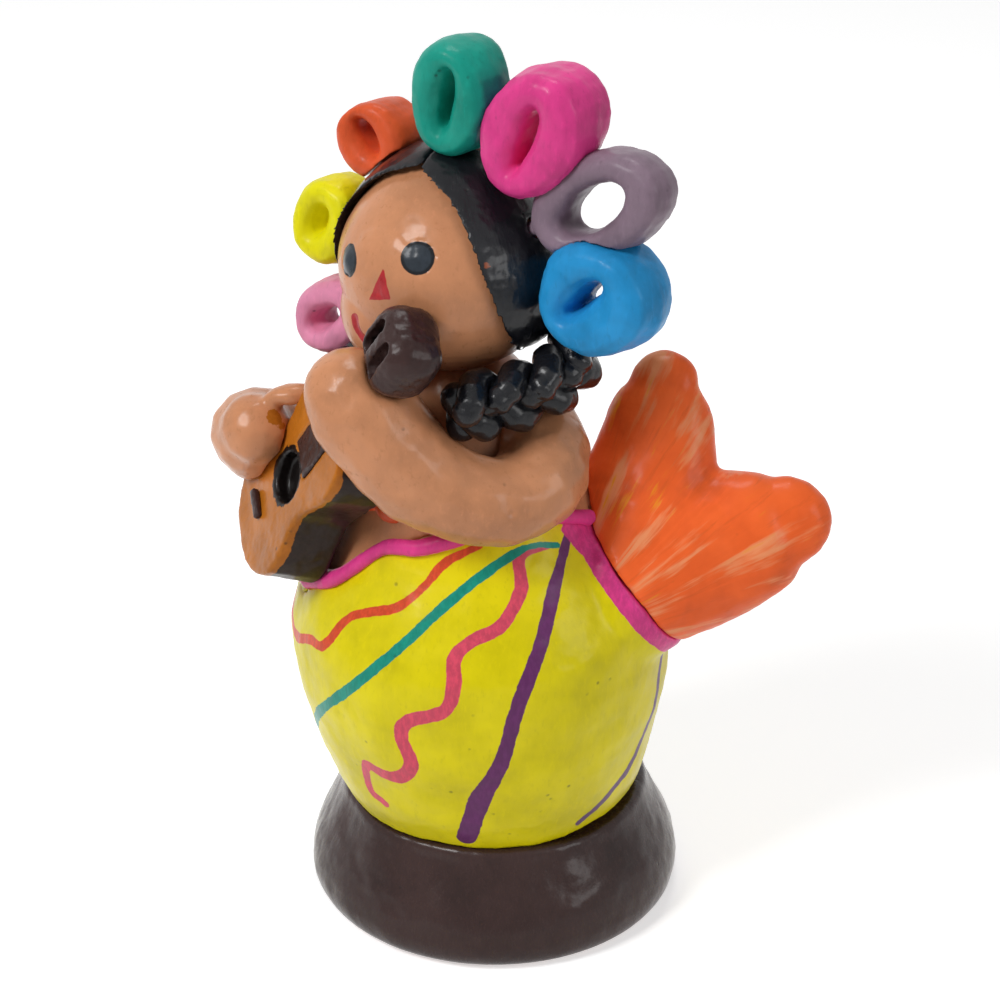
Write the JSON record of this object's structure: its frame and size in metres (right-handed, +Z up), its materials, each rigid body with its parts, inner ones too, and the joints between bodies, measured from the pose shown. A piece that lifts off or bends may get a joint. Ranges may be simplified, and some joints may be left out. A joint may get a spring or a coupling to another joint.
{
  "type": "mermaid figurine",
  "caption": "Painted clay mermaid figurine with a guitar, braided hair and a crown of seven coloured ribbon loops, on a round plinth.",
  "frame": {"origin": "centre of the flat underside of the plinth", "axes": "+Z up; the figure faces -Y; +X is towards the figure's left hand and its tail"},
  "size_m": [0.0956, 0.0709, 0.1576],
  "materials": {
    "dark_brown_clay": "gloss",
    "yellow_clay": "gloss",
    "skin_clay": "gloss",
    "magenta_clay": "gloss",
    "orange_clay": "gloss",
    "black_clay": "gloss",
    "pink_clay": "gloss",
    "lemon_clay": "gloss",
    "red_orange_clay": "gloss",
    "green_clay": "gloss",
    "mauve_clay": "gloss",
    "blue_clay": "gloss",
    "ochre_clay": "gloss"
  },
  "bodies": {
    "root": {"plinth": "dark_brown_clay", "body": "yellow_clay", "torso": "skin_clay", "waist_trim": "magenta_clay", "tail_fin": "orange_clay", "head": "skin_clay", "hair_left": "black_clay", "hair_right": "black_clay", "braid_left_strand_1": "black_clay", "braid_left_strand_2": "black_clay", "braid_left_strand_3": "black_clay", "braid_right_strand_1": "black_clay", "braid_right_strand_2": "black_clay", "braid_right_strand_3": "black_clay", "loop_pink": "pink_clay", "loop_yellow": "lemon_clay", "loop_orange": "red_orange_clay", "loop_green": "green_clay", "loop_magenta": "magenta_clay", "loop_mauve": "mauve_clay", "loop_blue": "blue_clay", "arm_left": "skin_clay", "arm_right": "skin_clay", "shell_left": "red_orange_clay", "shell_right": "red_orange_clay", "guitar_body": "ochre_clay", "guitar_fingerboard": "dark_brown_clay", "guitar_neck": "dark_brown_clay", "guitar_head": "dark_brown_clay", "guitar_bridge": "dark_brown_clay"}
  },
  "joints": []
}
